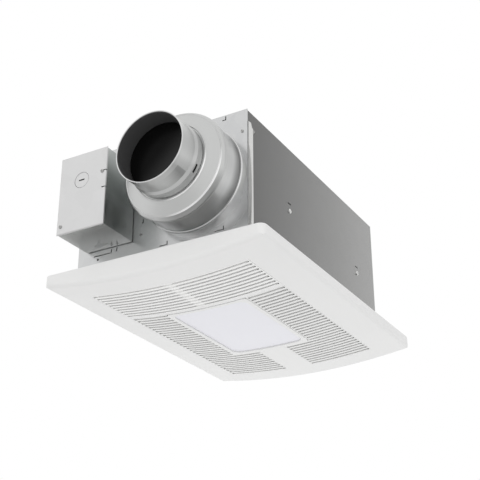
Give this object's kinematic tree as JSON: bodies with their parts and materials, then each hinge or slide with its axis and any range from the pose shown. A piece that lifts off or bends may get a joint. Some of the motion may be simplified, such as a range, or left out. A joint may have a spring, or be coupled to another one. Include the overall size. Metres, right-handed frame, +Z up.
{
  "type": "ceiling mounted fan heater",
  "caption": "Ceiling fan heater and light: steel housing with a side duct collar and damper, junction box, blower, heater and a sprung curved louvre grille.",
  "frame": {"origin": "centre of the ceiling opening, on the underside of the joist flange", "axes": "+Z up into the ceiling space, +Y away from the duct, +X to the right seen from the duct end"},
  "size_m": [0.334, 0.552, 0.2188],
  "materials": {
    "galvanised_sheet": "galvanised, faint spangle",
    "galvanised_spun": "galvanised, spun and rolled",
    "galvanised_cover": "galvanised, pressed, dull",
    "zinc_screw": "zinc plated",
    "black_plastic": "moulded, fine texture",
    "dark_plastic": "moulded, satin",
    "foam": "closed foam",
    "white_moulding": "moulded, satin white",
    "lens_acrylic": "frosted white",
    "motor_paint": "black enamel",
    "shaft_steel": "ground",
    "spring_steel": "drawn wire",
    "fin_aluminium": "thin fins",
    "heater_end": "heat resistant moulding",
    "circuit_board": "green lacquer",
    "board_parts": "component cases",
    "light_enamel": "white enamel",
    "lamp_board": "white solder mask",
    "lamp_chip": "phosphor",
    "terminal_plastic": "cream moulding",
    "ground_green": "green zinc",
    "cutout_ceramic": "glazed ceramic and metal"
  },
  "bodies": {
    "housing": {"housing_shell": "galvanised_sheet", "side_wall_screws": "zinc_screw", "duct_plate": "galvanised_sheet", "duct_plate_screws": "zinc_screw", "duct_collar_large": "galvanised_spun", "duct_reducer": "galvanised_spun", "damper_sleeve": "black_plastic", "outlet_gasket": "foam", "junction_box": "galvanised_sheet", "junction_box_cover": "galvanised_cover", "conduit_knockout": "galvanised_cover", "junction_box_screws": "zinc_screw", "terminal_block": "terminal_plastic", "ground_screw": "ground_green", "blower_scroll": "dark_plastic", "blower_inlet_ring": "galvanised_sheet", "scroll_brackets": "galvanised_sheet", "blower_motor": "motor_paint", "blower_motor_plate": "galvanised_sheet", "blower_motor_screws": "zinc_screw", "blower_bearing": "shaft_steel", "heater_case": "galvanised_sheet", "heater_element": "fin_aluminium", "heater_element_frame": "heater_end", "heater_motor_bridge": "galvanised_sheet", "heater_motor": "motor_paint", "thermal_cutout": "cutout_ceramic", "control_case": "dark_plastic", "control_board": "circuit_board", "control_parts": "board_parts", "light_tray": "light_enamel", "light_board": "lamp_board", "light_chips": "lamp_chip", "light_driver": "motor_paint", "spring_bracket_left": "galvanised_sheet", "spring_bracket_right": "galvanised_sheet"},
    "grille": {"grille_frame": "white_moulding", "near_louvre": "white_moulding", "far_louvre_left": "white_moulding", "far_louvre_right": "white_moulding", "lens_surround": "white_moulding", "light_lens": "lens_acrylic", "spring_seat_left": "white_moulding", "spring_seat_right": "white_moulding", "spring_coil_left": "spring_steel", "spring_coil_right": "spring_steel"},
    "damper": {"damper_flap": "black_plastic", "damper_pin": "shaft_steel"},
    "blower_rotor": {"blower_wheel": "dark_plastic", "blower_shaft": "shaft_steel", "blower_wheel_clip": "spring_steel"},
    "heater_rotor": {"heater_fan": "dark_plastic", "heater_shaft": "shaft_steel"},
    "spring_arm_left_front": {"spring_arm_left_front": "spring_steel"},
    "spring_arm_left_back": {"spring_arm_left_back": "spring_steel"},
    "spring_arm_right_front": {"spring_arm_right_front": "spring_steel"},
    "spring_arm_right_back": {"spring_arm_right_back": "spring_steel"}
  },
  "joints": [
    {"name": "grille_drop", "type": "slide", "parent": "housing", "child": "grille", "axis": [0, 0, -1], "range_m": [0, 0.065], "stiffness_N_per_m": 150, "springref_m": -0.14},
    {"name": "damper_swing", "type": "hinge", "parent": "housing", "child": "damper", "pos_m": [0.0548, -0.289, 0.104], "axis": [-1, 0, 0], "range_deg": [0, 75]},
    {"name": "blower_spin", "type": "hinge", "parent": "housing", "child": "blower_rotor", "pos_m": [-0.0142, -0.085, 0.1], "axis": [0, 0, 1], "continuous": true},
    {"name": "heater_fan_spin", "type": "hinge", "parent": "housing", "child": "heater_rotor", "pos_m": [0, 0.1481, 0.11], "axis": [0, 0, 1], "continuous": true},
    {"name": "spring_left_front_fold", "type": "hinge", "parent": "grille", "child": "spring_arm_left_front", "pos_m": [-0.1212, 0, -0.005], "axis": [-1, 0, 0], "range_deg": [0, 44]},
    {"name": "spring_left_back_fold", "type": "hinge", "parent": "grille", "child": "spring_arm_left_back", "pos_m": [-0.1212, 0, -0.005], "axis": [1, 0, 0], "range_deg": [0, 44]},
    {"name": "spring_right_front_fold", "type": "hinge", "parent": "grille", "child": "spring_arm_right_front", "pos_m": [0.1212, 0, -0.005], "axis": [-1, 0, 0], "range_deg": [0, 44]},
    {"name": "spring_right_back_fold", "type": "hinge", "parent": "grille", "child": "spring_arm_right_back", "pos_m": [0.1212, 0, -0.005], "axis": [1, 0, 0], "range_deg": [0, 44]}
  ],
  "couplings": [
    {"joint": "spring_left_front_fold", "follows": "grille_drop", "rad_per_m": 11.801},
    {"joint": "spring_left_back_fold", "follows": "grille_drop", "rad_per_m": 11.801},
    {"joint": "spring_right_front_fold", "follows": "grille_drop", "rad_per_m": 11.801},
    {"joint": "spring_right_back_fold", "follows": "grille_drop", "rad_per_m": 11.801}
  ]
}
